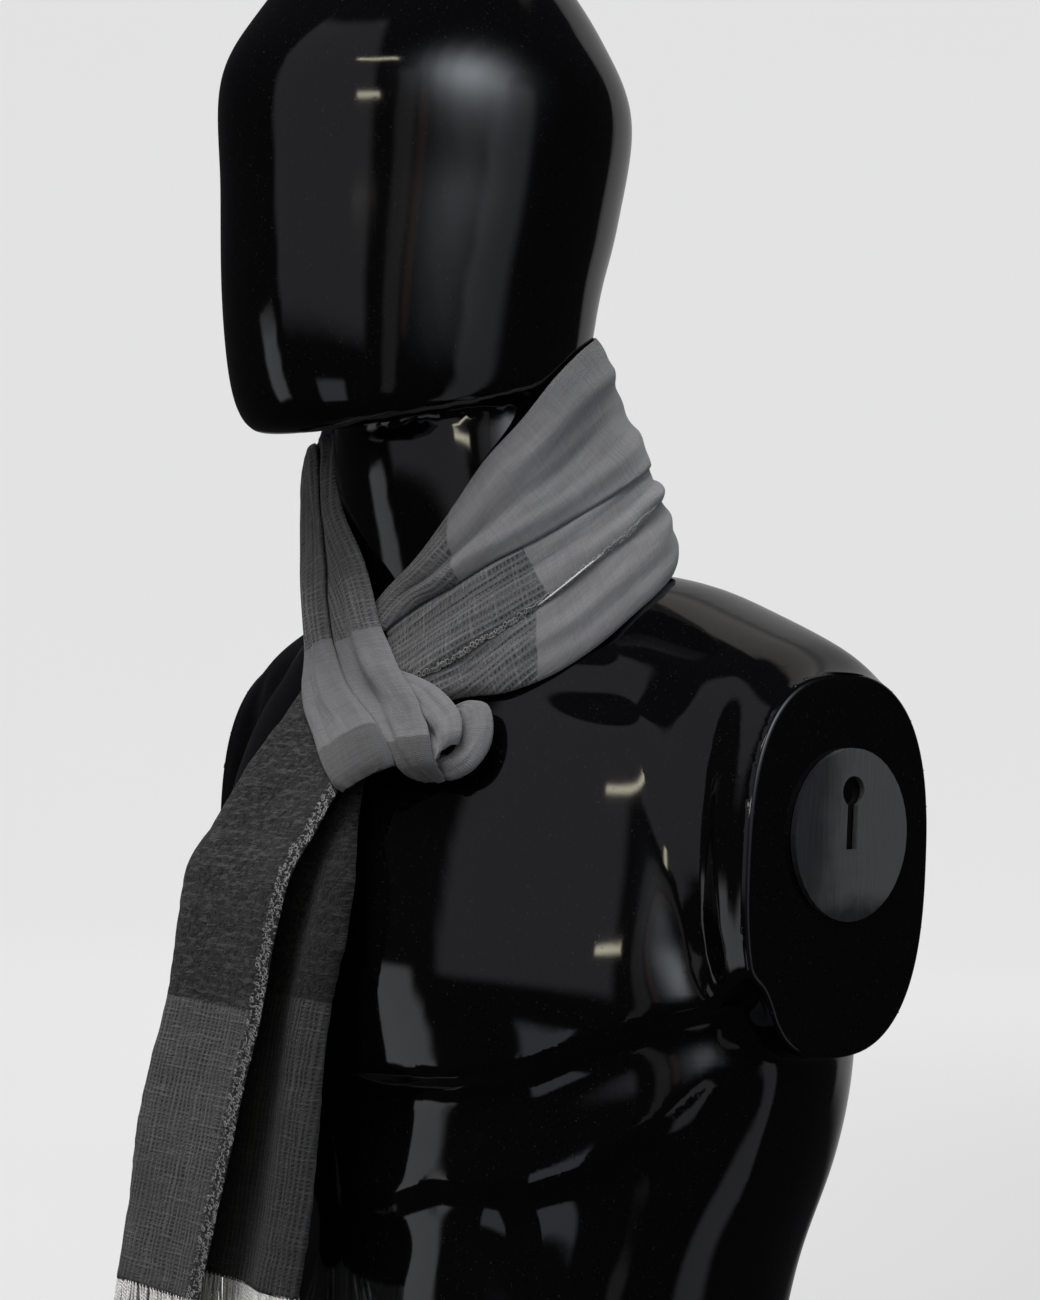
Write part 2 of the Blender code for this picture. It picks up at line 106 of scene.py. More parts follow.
def applied(piece):
    # works the modifiers into the mesh
    bpy.context.view_layer.update()
    graph = bpy.context.evaluated_depsgraph_get()
    mesh = bpy.data.meshes.new_from_object(piece.evaluated_get(graph))
    piece.modifiers.clear()
    piece.data = mesh
    mesh.shade_smooth()
    return piece


def treeOf(piece):
    shape = bmesh.new()
    shape.from_mesh(piece.data)
    tree = BVHTree.FromBMesh(shape)
    shape.free()
    return tree


def turned(shape, matrix):
    bmesh.ops.rotate(shape, verts=shape.verts, cent=(0, 0, 0), matrix=matrix)


def fromNeck(point):
    return Vector((point.x, point.y - neckAxis, 0))


def gridNormals(lines):
    # they face away from the neck
    rows, columns = len(lines) - 1, len(lines[0]) - 1
    normals = []
    for i, line in enumerate(lines):
        above, below = lines[max(i - 1, 0)], lines[min(i + 1, rows)]
        normals.append([
            (below[j] - above[j]).cross(line[min(j + 1, columns)] - line[max(j - 1, 0)]).normalized()
            for j in range(columns + 1)
        ])
    out = fromNeck(lines[rows // 2][columns // 2])
    if out.dot(normals[rows // 2][columns // 2]) < 0:
        normals = [[-normal for normal in line] for line in normals]
    return normals


def rowWays(lines):
    # one way out for each line
    return [sum(line, Vector()).normalized() for line in gridNormals(lines)]


def raised(lines, ways, lift):
    return [[p + way * up for p, up in zip(line, ups)] for line, way, ups in zip(lines, ways, lift)]


def eased(lift, rounds, floor=None):
    # evens out a grid of lifts, never below the floor
    floor = floor or [[-math.inf] * len(lift[0])] * len(lift)
    for _ in range(rounds):
        above, below = lift[:1] + lift[:-1], lift[1:] + lift[-1:]
        lift = [
            [max(low, sum(near) / 4) for low, *near in zip(
                lows, up, down, row[:1] + row[:-1], row[1:] + row[-1:],
            )]
            for lows, up, down, row in zip(floor, above, below, lift)
        ]
    return lift


def rayLift(point, way, tree, deep):
    # how far out along the way a face lies, or nothing
    reach = sheetLook["reach"]
    hit, facing, _, distance = tree.ray_cast((point + way * reach) * mm, -way, (reach + deep) * mm)
    if hit is None or facing.dot(way) <= 0:
        return None
    return reach - distance / mm


def seatOn(lines, node):
    # lays the lines in the middle of the CAD node's wall
    tree, ways, look = treeOf(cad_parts[node]), rowWays(lines), sheetLook
    lift = []
    for line, way in zip(lines, ways):
        found = [rayLift(point, way, tree, look["deep"]) for point in line]
        known = [k for k, value in enumerate(found) if value is not None]
        if not known:
            lift.append(list(lift[-1]) if lift else [0.0] * len(line))
            continue
        nearest = [min(known, key=lambda k: abs(k - j)) for j in range(len(line))]
        lift.append([found[k] - look["halfWall"] for k in nearest])
    return raised(lines, ways, eased(lift, look["seatRounds"]))


def keepClear(lines, under, gap):
    # lifts the lines off the pieces under them
    ways, look, need = rowWays(lines), sheetLook, []
    for line, way in zip(lines, ways):
        ups = []
        for point in line:
            found = [rayLift(point, way, tree, gap) for tree in under]
            ups.append(max([0.0] + [up + gap for up in found if up is not None and up < look["high"]]))
        need.append(ups)
    return raised(lines, ways, eased(need, look["clearRounds"], need))


def runOf(points):
    # the distance to each point along a row
    steps = [0.0]
    for a, b in zip(points, points[1:]):
        steps.append(steps[-1] + (b - a).length)
    return steps


def clothFrom(name, lines):
    # a sheet through the lines, with the distances across and along it as its UV map
    rows, columns = len(lines) - 1, len(lines[0]) - 1
    shape = bmesh.new()
    bmesh.ops.create_grid(shape, x_segments=columns, y_segments=rows, size=0.5)
    weave = shape.loops.layers.uv.new("weave")
    along = runOf([line[columns // 2] for line in lines])
    across = [runOf(line) for line in lines]
    shape.verts.index_update()
    for vert in shape.verts:
        i, j = divmod(vert.index, columns + 1)
        vert.co = lines[i][j] * mm
    for face in shape.faces:
        for loop in face.loops:
            i, j = divmod(loop.vert.index, columns + 1)
            loop[weave].uv = (across[i][j] * mm, along[i] * mm)
    middle = lines[rows // 2][columns // 2] * mm
    shape.normal_update()
    central = min(shape.verts, key=lambda v: (v.co - middle).length)
    if central.normal.dot(gridNormals(lines)[rows // 2][columns // 2]) < 0:
        bmesh.ops.reverse_faces(shape, faces=shape.faces)
    piece = newPiece(name, shape)
    wall = piece.modifiers.new("wall", "SOLIDIFY")
    wall.thickness = sheetLook["thick"] * mm
    wall.offset = 0
    return piece


class Signal:
    # a node's output, used in sums like a number
    def __init__(self, socket):
        self.socket = socket

    __add__ = lambda self, other: worked("ADD", self, other)
    __radd__ = lambda self, other: worked("ADD", other, self)
    __sub__ = lambda self, other: worked("SUBTRACT", self, other)
    __rsub__ = lambda self, other: worked("SUBTRACT", other, self)
    __mul__ = lambda self, other: worked("MULTIPLY", self, other)
    __truediv__ = lambda self, other: worked("DIVIDE", self, other)

    def wave(self):
        # from 0 to 1 and back once in each whole number
        return worked("COSINE", self * (2 * math.pi)) * -0.5 + 0.5


def nodeOf(tree, kind, settings=None, values=(), output=0):
    node = tree.nodes.new(kind)
    for key, value in (settings or {}).items():
        setattr(node, key, value)
    pairs = values.items() if isinstance(values, dict) else enumerate(values)
    for key, value in pairs:
        if isinstance(value, Signal):
            tree.links.new(value.socket, node.inputs[key])
        else:
            node.inputs[key].default_value = value
    return Signal(node.outputs[output])


def worked(operation, *values):
    tree = [value for value in values if isinstance(value, Signal)][0].socket.id_data
    return nodeOf(tree, "ShaderNodeMath", {"operation": operation}, values)


def newMaterial(name, fixed):
    material = bpy.data.materials.new(name)
    material.use_nodes = True
    tree = material.node_tree
    shader = tree.nodes["Principled BSDF"]
    for key, value in fixed.items():
        shader.inputs[key].default_value = value
    return material, tree, shader


def feed(shader, key, signal):
    shader.id_data.links.new(signal.socket, shader.inputs[key])


def feedBump(shader, strength, deep, height):
    values = {"Strength": strength, "Distance": deep, "Height": height}
    feed(shader, "Normal", nodeOf(shader.id_data, "ShaderNodeBump", {}, values))


def colourOf(value):
    return value if isinstance(value, Signal) else (*value, 1)


def mixed(tree, part, first, second):
    # sockets 6 and 7 take the colours or signals
    values = {0: part, 6: colourOf(first), 7: colourOf(second)}
    return nodeOf(tree, "ShaderNodeMix", {"data_type": "RGBA"}, values, 2)


def scaled(tree, colour, amount):
    return nodeOf(tree, "ShaderNodeVectorMath", {"operation": "SCALE"}, {0: colour, "Scale": amount})


def objectPlace(tree):
    return nodeOf(tree, "ShaderNodeTexCoord", output="Object")


def axisOf(tree, place, axis, unit=mm):
    # one coordinate of a place
    value = nodeOf(tree, "ShaderNodeSeparateXYZ", {}, [place], axis)
    return value * (1 / unit) if unit != 1 else value


def noiseAt(tree, place, scale, detail=2.0, rough=0.5):
    # the scale is one number, or one for each axis
    if isinstance(scale, tuple):
        spread = (*scale, 1.0)[:3]
        place, scale = nodeOf(tree, "ShaderNodeMapping", {}, {"Vector": place, "Scale": spread}), 1.0
    values = {"Vector": place, "Scale": scale, "Detail": detail, "Roughness": rough}
    return nodeOf(tree, "ShaderNodeTexNoise", {}, values)


def step(tree, value, low, high):
    # 0 at low and 1 at high
    values = {"Value": value, "From Min": low, "From Max": high}
    return nodeOf(tree, "ShaderNodeMapRange", {"interpolation_type": "SMOOTHSTEP"}, values)


closeWeave = {
    "tone": {"base": 0.42, "threads": 0.14, "slubs": 0.42, "fuzz": 0.22, "nubs": 0.28},
    "relief": {"threads": 0.3, "slubs": 0.7, "fuzz": 0.5},
}
# each weave's colour, and what its features add to tone and relief
weaves = {
    "fine": {"colour": (0.126, 0.125, 0.130), **closeWeave},  # the pale close weave
    # hem: the close weave darkened to half as painted shade, where the cloth turns under at a strip's end
    "hem": {"colour": (0.062, 0.062, 0.064), **closeWeave},  # the same where it is turned under
    "mesh": {  # the open weave
        "colour": (0.070, 0.070, 0.072),
        "tone": {
            "base": 0.70, "line": 0.10, "openLine": 0.26, "hole": -0.16, "openHole": -0.46,
            "bars": 0.42, "posts": 0.40, "fuzz": 0.3,
        },
        "relief": {"line": 0.3, "hole": -1.0, "bars": 0.5, "posts": 0.4, "fuzz": 0.5},
    },
    "marl": {  # the dark close weave with pale flecks
        "colour": (0.0205, 0.0205, 0.021),
        "tone": {"base": 0.62, "fleck": 1.45, "streaks": 0.65, "pits": -0.55, "fuzz": 0.3},
        "relief": {"fleck": 0.8, "pits": -0.5, "fuzz": 0.6, "streaks": 0.4},
    },
}
# noisy features: scale (across and along the cloth), detail, roughness, low and high end
speckles = {
    "nubs": (420.0, 2.0, 0.5, 0.66, 0.74),
    "open": ((85.0, 40.0), 2.0, 0.5, 0.38, 0.62),
    "bars": ((60.0, 620.0), 2.0, 0.6, 0.52, 0.64),
    "posts": ((560.0, 32.0), 2.0, 0.6, 0.52, 0.66),
    "fleck": ((130.0, 420.0), 3.0, 0.7, 0.50, 0.60),
    "pits": (330.0, 2.0, 0.6, 0.52, 0.42),
    "streaks": ((26.0, 260.0), 3.0, 0.6, 0.42, 0.70),
}
wool = {
    "thread": 0.8, "pane": 3.2, "hole": 2.0,  # pitch of the close weave, open weave and holes
    "uStray": (5.0, 1.8), "vStray": (3.6, 1.6),  # how far the open weave strays
    "wander": 2.4, "fray": 0.8, "blend": 0.5,  # how a change of weave strays, and its softness
    "cloud": (0.76, 0.48), "roughness": (0.82, 0.12), "bump": (0.75, 0.0007),
}
# the knotted edge, dark with broken pale loops
knotting = {
    "stray": 2.5, "soft": 1.2, "share": 0.75, "height": 1.2,
    "dark": (0.012, 0.012, 0.012), "pale": (0.24, 0.24, 0.235),
}


def weighed(features, weights):
    total = None
    for name, weight in weights.items():
        part = weight if name == "base" else features[name] * weight
        total = part if total is None else total + part
    return total


def clothMaterial(name, changes, selvedge=None, depth=1.0, sheen=0.22):
    # changes: place along the sheet, slant, and the weave that begins there;
    # selvedge: place across the sheet, and width; depth: less than 1 darkens the whole colour, as painted
    # shade
    material, tree, shader = newMaterial(name, {
        "Sheen Weight": sheen, "Sheen Roughness": 0.6, "Specular IOR Level": 0.1,
    })
    place = nodeOf(tree, "ShaderNodeUVMap", {"uv_map": "weave"})
    u, v = axisOf(tree, place, "X"), axisOf(tree, place, "Y")

    def grain(*values):
        return noiseAt(tree, place, *values)

    soft, stray = grain(70.0, 3.0), grain(190.0)
    uStray = u + (grain((130.0, 5.0)) - 0.5) * wool["uStray"][0] + (soft - 0.5) * wool["uStray"][1]
    vStray = v + (grain((9.0, 150.0)) - 0.5) * wool["vStray"][0] + (stray - 0.5) * wool["vStray"][1]
    line, rung = (uStray / wool["pane"]).wave(), (vStray / wool["hole"]).wave()
    features = {key: step(tree, grain(*row[:3]), *row[3:]) for key, row in speckles.items()}
    fuzz = grain(1300.0, 2.0, 0.6)
    threads = (u / wool["thread"]).wave() * 0.5 + (v / wool["thread"]).wave() * 0.5
    hole = step(tree, 1 - line, 0.35, 0.85) * step(tree, 1 - rung, 0.30, 0.85)
    line = step(tree, line, 0.50, 0.95)
    features.update({
        "fuzz": fuzz, "threads": threads, "slubs": grain((520.0, 60.0), 3.0) + grain((60.0, 620.0), 3.0),
        "line": line, "hole": hole, "openLine": line * features["open"], "openHole": hole * features["open"],
    })
    paint, relief = None, None
    for begin, slant, weave in changes:
        tinted = scaled(tree, weaves[weave]["colour"], weighed(features, weaves[weave]["tone"]))
        height = weighed(features, weaves[weave]["relief"])
        if paint is None:
            paint, relief = tinted, height
            continue
        where = v + u * slant + (soft - 0.5) * wool["wander"] + (fuzz - 0.5) * wool["fray"]
        here = step(tree, where, begin - wool["blend"], begin + wool["blend"])
        paint = mixed(tree, here, paint, tinted)
        relief = relief + (height - relief) * here
    if selvedge:
        away = worked("ABSOLUTE", u - selvedge[0]) + (soft - 0.5) * knotting["stray"]
        near = step(tree, away, selvedge[1], selvedge[1] - knotting["soft"])
        knots = step(tree, grain(720.0, 1.0, 0.4), 0.52, 0.64)
        knotted = mixed(tree, knots, knotting["dark"], knotting["pale"])
        paint = mixed(tree, near * knotting["share"], paint, knotted)
        relief = relief + near * knots * knotting["height"]
    cloud = grain(26.0, 3.0)
    shade, rough = [least + cloud * more for least, more in (wool["cloud"], wool["roughness"])]
    # cloud varies the tone at random; depth below 1 darkens the whole colour as painted shade
    feed(shader, "Base Color", scaled(tree, paint, shade * depth))
    feed(shader, "Roughness", rough)
    feedBump(shader, *wool["bump"], relief + soft * 1.2)
    return material


def yarnMaterial(name, colour, twist):
    material, tree, shader = newMaterial(name, {"Sheen Weight": 0.4, "Specular IOR Level": 0.15})
    place = objectPlace(tree)
    tone = noiseAt(tree, place, 420.0, 3.0)
    ply = ((axisOf(tree, place, "Z") + axisOf(tree, place, "X") * 1.4) / twist).wave()
    dark, pale = [c * 0.75 for c in colour], [min(c * 1.2, 1) for c in colour]
    feed(shader, "Base Color", scaled(tree, mixed(tree, tone, dark, pale), 0.75 + ply * 0.35))
    feed(shader, "Roughness", 0.8 + tone * 0.15)
    feedBump(shader, 0.7, 0.0004, ply + tone * 0.5)
    return material


# height, half width, front, back, squareness and tilt of the body's levels; then the girdle's
# distance out, lowest, highest, front, back and squareness
bustRows = (
    (0, 132, -97, 92, 2.4, 0.0), (60, 133, -101, 94, 2.4, 0.0), (115, 141, -105, 100, 2.4, 0.0),
    (165, 157, -111, 110, 2.4, 0.0), (205, 167, -120, 115, 2.3, 0.0), (245, 167, -127, 115, 2.3, 0.0),
    (290, 164, -122, 108, 2.2, 0.0), (325, 157, -114, 100, 2.2, 0.0), (350, 149, -107, 92, 2.1, 0.0),
    (366, 138, -102, 84, 2.0, 0.0), (380, 120, -99, 73, 2.0, 0.0), (394, 97, -98, 60, 1.95, 0.0),
    (409, 79, -99, 44, 1.95, 0.0), (424, 69, -102, 29, 2.0, 0.0), (441, 62, -106, 13, 2.0, 0.0),
    (462, 59, -109, 5, 2.0, 0.05), (482, 57, -110, 0, 2.0, 0.15), (495, 56, -109, -3, 2.0, 0.25),
    (491, 59, -132, -3, 2.0, 0.28), (488, 62, -148, -2, 2.1, 0.27), (492, 64, -158, 0, 2.2, 0.24),
    (506, 66, -166, 2, 2.2, 0.19), (536, 69, -173, 7, 2.1, 0.10), (575, 73, -177, 16, 2.0, 0.0),
    (622, 76, -179, 21, 2.0, 0.0), (655, 66, -161, 3, 2.0, 0.0), (684, 49, -137, -22, 2.0, 0.0),
    (702, 30, -114, -44, 2.0, 0.0), (710, 13, -94, -64, 2.0, 0.0),
)
girdleRows = (
    (0, 217, 408, -84, 74, 2.1), (60, 217, 417, -79, 76, 2.1), (95, 217, 414, -71, 75, 2.2),
    (130, 217, 403, -61, 71, 2.3), (165, 216, 389, -52, 66, 2.5), (187, 216, 375, -46, 61, 2.6),
)
# the rows run on past the flat cuts, to foot and past
bustLook = {
    "round": 120, "levels": 6, "foot": -16, "past": 204, "voxel": 3.0, "smoothing": 9,
    "evening": 3, "rim": 1.6, "inset": 1.2, "colour": (0.0015, 0.0015, 0.0018),
    "dust": (0.05, 0.05, 0.05), "roughness": 0.035,
}
# soft hollows: centre, radii and depth, in both halves of the body
bustHollows = (
    ((122, -62, 364), (40, 34, 15), 3.0), ((60, 118, 200), (42, 40, 90), 3.0),
    ((0, 118, 235), (15, 40, 140), 4.5), ((0, -118, 120), (10, 40, 110), 3.0),
    ((96, -96, 118), (16, 40, 60), 3.5), ((150, 96, 300), (24, 30, 60), 3.0),
)
# long creases of the front: (side, height) along them, depth, width, and softness above
bustCreases = (
    (((36, 196), (80, 199), (115, 208), (145, 224), (165, 236), (186, 250)), 7.5, 13, 1.5),
    (((30, 136), (62, 150), (105, 152), (130, 163), (153, 186), (170, 212)), 5.0, 16, 4.0),
)
creaseFade = {"inner": 30, "outer": 8, "front": -5, "soft": 30}
groove = {  # between the chest and the shoulder
    "side": 163, "wide": 8, "deep": 4.5, "front": -12, "soft": 20,
    "low": 236, "lowSoft": 25, "high": 372, "highSoft": 30,
}


def creaseDepth(x, y, z):
    # how far the front sinks under the edge of each muscle, and in the groove
    deep, fade = 0.0, creaseFade
    for line, depth, width, lip in bustCreases:
        inner, outer = line[0][0], line[-1][0]
        side = min(max(x, inner), outer)
        for (x0, z0), (x1, z1) in zip(line, line[1:]):
            if x0 <= side <= x1:
                edge = z0 + (z1 - z0) * (side - x0) / (x1 - x0)
        t = (edge - z + lip) / width
        if t > 0:
            ends = share(1 - (inner - x) / fade["inner"]) * share(1 - (x - outer) / fade["outer"])
            deep += depth * t * math.exp(1 - t) * ends * share((fade["front"] - y) / fade["soft"])
    across = math.exp(-(((x - groove["side"]) / groove["wide"]) ** 2))
    across *= share((groove["front"] - y) / groove["soft"])
    rise = share((z - groove["low"]) / groove["lowSoft"]) * share((groove["high"] - z) / groove["highSoft"])
    return deep + groove["deep"] * across * rise


def superellipse(halfA, halfB, square, angle):
    sine, cosine = math.sin(angle), math.cos(angle)
    return (
        halfA * math.copysign(abs(cosine) ** (2 / square), cosine),
        halfB * math.copysign(abs(sine) ** (2 / square), sine),
    )


def bustPoint(row, turn):
    height, side, front, back, square, tilt = row
    y, x = superellipse((back - front) / 2, side, square, turn)
    return Vector((x, (front + back) / 2 - y, height - tilt * y))


def girdlePoint(row, turn):
    out, low, high, front, back, square = row
    y, z = superellipse((back - front) / 2, (high - low) / 2, square, turn)
    return Vector((out, (front + back) / 2 + y, (high + low) / 2 + z))


def closedTube(shape, rows, pointAt):
    # a closed body through the rows of a table
    last, turns = len(rows) - 1, bustLook["round"]
    made = bmesh.ops.create_grid(
        shape, x_segments=turns, y_segments=last * bustLook["levels"], size=0.5,
    )["verts"]
    for vert in made:
        place, turn = (vert.co.y + 0.5) * last, (vert.co.x + 0.5) * 2 * math.pi
        vert.co = pointAt(smoothRow(rows, min(place, tableEnd(rows))), turn) * mm
    bmesh.ops.remove_doubles(shape, verts=made, dist=1e-6)
    rims = [edge for edge in shape.edges if edge.is_boundary]
    bmesh.ops.holes_fill(shape, edges=rims, sides=0)


def flatCut(shape, centre, way):
    # cuts the body flat, closes the cut and rounds its edge
    cut = bmesh.ops.bisect_plane(
        shape, geom=shape.verts[:] + shape.edges[:] + shape.faces[:], dist=1e-7,
        plane_co=Vector(centre) * mm, plane_no=way, clear_outer=True,
    )["geom_cut"]
    rim = [part for part in cut if isinstance(part, bmesh.types.BMEdge)]
    bmesh.ops.contextual_create(shape, geom=rim)
    bmesh.ops.bevel(
        shape, geom=rim, offset=bustLook["rim"] * mm, offset_type="OFFSET", affect="EDGES",
        segments=3, profile=0.5, material=-1,
    )
    flat = [face for face in shape.faces if len(face.verts) > 20]
    bmesh.ops.inset_region(shape, faces=flat, thickness=bustLook["inset"] * mm, use_even_offset=True)


def sink(shape):
    shape.normal_update()
    for vert in shape.verts:
        x, y, z = abs(vert.co.x) / mm, vert.co.y / mm, vert.co.z / mm
        deep = creaseDepth(x, y, z)
        for centre, radii, depth in bustHollows:
            away = Vector([(v - c) / r for v, c, r in zip((x, y, z), centre, radii)]).length
            deep += depth * max(0.0, 1 - away * away) ** 2
        vert.co -= vert.normal * deep * mm
    for _ in range(bustLook["evening"]):
        bmesh.ops.smooth_vert(
            shape, verts=shape.verts, factor=0.5, use_axis_x=True, use_axis_y=True, use_axis_z=True,
        )


def makeBust():
    shape = bmesh.new()
    closedTube(shape, [(bustLook["foot"], *bustRows[0][1:]), *bustRows], bustPoint)
    side = [*girdleRows, (bustLook["past"], *girdleRows[-1][1:])]
    closedTube(shape, [(-row[0], *row[1:]) for row in side[:0:-1]] + side, girdlePoint)
    bmesh.ops.recalc_face_normals(shape, faces=shape.faces)
    piece = newPiece("glossBust", shape)
    skin = piece.modifiers.new("skin", "REMESH")
    skin.mode = "VOXEL"
    skin.voxel_size = bustLook["voxel"] * mm
    smooth = piece.modifiers.new("smooth", "SMOOTH")
    smooth.factor = 0.5
    smooth.iterations = bustLook["smoothing"]
    applied(piece)
    shape = bmesh.new()
    shape.from_mesh(piece.data)
    sink(shape)
    reach = girdleRows[-1][0]
    flatCut(shape, (reach, 0, 0), (1, 0, 0))
    flatCut(shape, (-reach, 0, 0), (-1, 0, 0))
    flatCut(shape, (0, 0, 0), (0, 0, -1))
    shape.to_mesh(piece.data)
    shape.free()
    piece.data.shade_smooth()
    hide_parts("bust")
    dress(piece, lacquerMaterial())
    print("bust", len(piece.data.polygons))


def lacquerMaterial():
    material, tree, shader = newMaterial("blackLacquer", {"Coat Roughness": 0.03, "IOR": 1.5})
    place = objectPlace(tree)
    dust = step(tree, noiseAt(tree, place, 900.0), 0.66, 0.74)
    smear = noiseAt(tree, place, (30.0, 30.0, 6.0), 4.0)
    feed(shader, "Base Color", mixed(tree, dust * 0.25, bustLook["colour"], bustLook["dust"]))
    feed(shader, "Roughness", bustLook["roughness"] + smear * 0.07 + dust * 0.1)
    feedBump(shader, 0.05, 0.002, noiseAt(tree, place, 9.0))
    return material


# the plate's dark metal, the colour of its painted reflection, and the ranges over which that painted
# reflection rises along y and along z
plateLook = {
    "dark": (0.014, 0.014, 0.016), "paintedReflection": (0.10, 0.10, 0.098), "from": (-14, 16), "above": (277, 286),
}


def plateMaterial():
    # dark metal, scratched, with a painted reflection that makes it lighter grey and more metallic towards
    # the back and top
    material, tree, shader = newMaterial("plateGrey", {"IOR": 1.5})
    place = objectPlace(tree)
    y, z = axisOf(tree, place, "Y"), axisOf(tree, place, "Z")
    scratches = noiseAt(tree, place, (1.0, 700.0, 60.0), 3.0)
    stain = noiseAt(tree, place, 55.0, 4.0)
    paintedReflection = step(tree, y + (stain - 0.5) * 26 + (scratches - 0.5) * 10, *plateLook["from"])
    low = step(tree, z + (stain - 0.5) * 14, *plateLook["above"])
    feed(shader, "Base Color", mixed(tree, paintedReflection * low, plateLook["dark"], plateLook["paintedReflection"]))
    feed(shader, "Metallic", paintedReflection * 0.3)
    feed(shader, "Roughness", 0.24 + scratches * 0.22 + stain * 0.1)
    feedBump(shader, 0.25, 0.0004, scratches + stain)
    return material


# upper edge as angle, radius and height, then lower edge, then swell
bandRows = {
    "band_lower": (
        (38, 69, 374, 43, 78, 356, 1), (51, 70, 381, 56, 82, 360, 2), (63, 73, 393, 66, 92, 363, 2),
        (77, 76, 408, 77, 99, 371, 3), (90, 78, 424, 87, 102, 382, 3), (104, 80, 441, 97, 106, 397, 3),
        (120, 82, 456, 108, 106, 409, 3), (140, 82, 464, 122, 103, 419, 3),
        (160, 80, 467, 142, 100, 427, 3), (182, 78, 467, 163, 96, 428, 3), (204, 76, 466, 186, 92, 427, 3),
        (224, 75, 465, 209, 90, 428, 3), (243, 74, 463, 230, 87, 430, 2), (260, 72, 460, 250, 83, 433, 2),
        (275, 70, 454, 268, 76, 437, 1),
    ),
    "band_middle": (
        (20, 57, 392, 32, 67, 366, 1), (39, 59, 405, 44, 69, 366, 2), (51, 63, 414, 55, 74, 375, 3),
        (63, 67, 425, 67, 79, 387, 3), (78, 69, 437, 80, 82, 401, 3), (95, 71, 449, 93, 84, 416, 3),
        (111, 73, 460, 107, 85, 430, 3), (127, 74, 469, 121, 87, 443, 3), (146, 74, 475, 141, 86, 451, 3),
        (166, 72, 479, 162, 84, 455, 3), (186, 70, 482, 184, 82, 456, 3), (205, 69, 483, 205, 80, 456, 3),
        (226, 68, 483, 227, 79, 455, 3), (247, 68, 480, 248, 77, 453, 3), (266, 68, 475, 267, 75, 450, 3),
        (283, 67, 469, 283, 73, 447, 3), (298, 67, 464, 296, 71, 444, 2),
    ),
    "band_upper": (
        (2, 56, 388, 20, 62, 384, 1), (14, 52, 404, 38, 63, 398, 2), (33, 58, 418, 51, 68, 406, 3),
        (48, 62, 439, 63, 72, 416, 3), (61, 64, 461, 78, 75, 427, 3), (75, 65, 479, 95, 76, 440, 2),
        (89, 65, 498, 110, 78, 451, 1), (106, 62, 512, 126, 79, 460, 1), (127, 58, 520, 145, 79, 466, 2),
        (149, 56, 523, 165, 77, 470, 2), (172, 55, 524, 185, 75, 474, 2), (196, 55, 522, 205, 73, 476, 2),
        (220, 58, 515, 226, 72, 475, 3), (242, 60, 505, 246, 71, 473, 3), (261, 62, 495, 264, 70, 470, 3),
        (279, 63, 487, 280, 68, 469, 3), (298, 64, 482, 298, 66, 469, 2),
    ),
}
# inner edge as x, y, z, then outer edge, then swell
loopRows = {
    "loop_outer": (
        (-54, -91, 470, -61, -91, 447, 3), (-47, -95, 468, -55, -99, 440, 3),
        (-40, -98, 456, -50, -103, 430, 3), (-32, -100, 436, -47, -105, 418, 3),
        (-27, -102, 418, -45, -106, 405, 3), (-22, -103, 397, -41, -107, 391, 3),
        (-14, -104, 380, -36, -108, 374, 3), (-4, -107, 369, -30, -112, 361, 3),
        (11, -111, 357, -19, -117, 349, 4), (30, -117, 348, -3, -123, 338, 4),
        (46, -123, 341, 13, -131, 328, 4), (54, -126, 335, 27, -136, 320, 3),
        (56, -125, 331, 32, -135, 317, 2),
    ),
    "loop_inner": (
        (-44, -92, 479, -56, -91, 463, 2), (-36, -95, 474, -52, -95, 458, 2),
        (-30, -99, 460, -46, -98, 446, 2), (-23, -101, 445, -40, -100, 432, 2),
        (-12, -102, 432, -36, -101, 420, 3), (-1, -104, 419, -33, -102, 405, 3),
        (11, -106, 404, -28, -103, 393, 3), (24, -108, 389, -21, -105, 380, 3),
        (38, -111, 376, -10, -107, 367, 3), (49, -114, 366, 5, -110, 357, 3),
        (60, -117, 357, 22, -115, 349, 3), (69, -120, 348, 36, -120, 341, 3),
        (75, -122, 340, 46, -123, 334, 3), (78, -121, 333, 54, -122, 328, 2),
        (76, -115, 330, 58, -116, 325, 1),
    ),
    "loop_turn": (
        (30, -107, 377, 10, -105, 372, 1), (41, -108, 369, 22, -107, 362, 2),
        (51, -109, 366, 36, -110, 354, 2), (62, -111, 363, 48, -113, 348, 2),
        (73, -113, 358, 58, -115, 342, 3), (81, -114, 352, 66, -117, 337, 3),
        (85, -116, 345, 71, -119, 334, 3), (84, -117, 340, 76, -120, 331, 2),
    ),
    "loop_curl": (
        (66, -106, 349, 70, -104, 356, 1), (72, -105, 349, 76, -101, 358, 2),
        (74, -106, 346, 83, -100, 356, 2), (74, -108, 343, 88, -101, 348, 3),
        (73, -110, 340, 90, -104, 339, 3), (72, -112, 337, 88, -109, 331, 3),
        (69, -114, 336, 82, -113, 326, 3), (65, -115, 333, 74, -116, 325, 2),
        (56, -117, 333, 64, -118, 327, 1),
    ),
}
roll = {"deep": 2.7, "start": 0.7}  # how the edges of a pleat roll in
# the order that the pleats lie in, and the band's pleat that each of the loop's runs on from
layers = (
    ("band_lower", None), ("band_middle", None), ("band_upper", None),
    ("loop_curl", None), ("loop_turn", None),
    ("loop_inner", "band_upper"), ("loop_outer", "band_middle"),
)
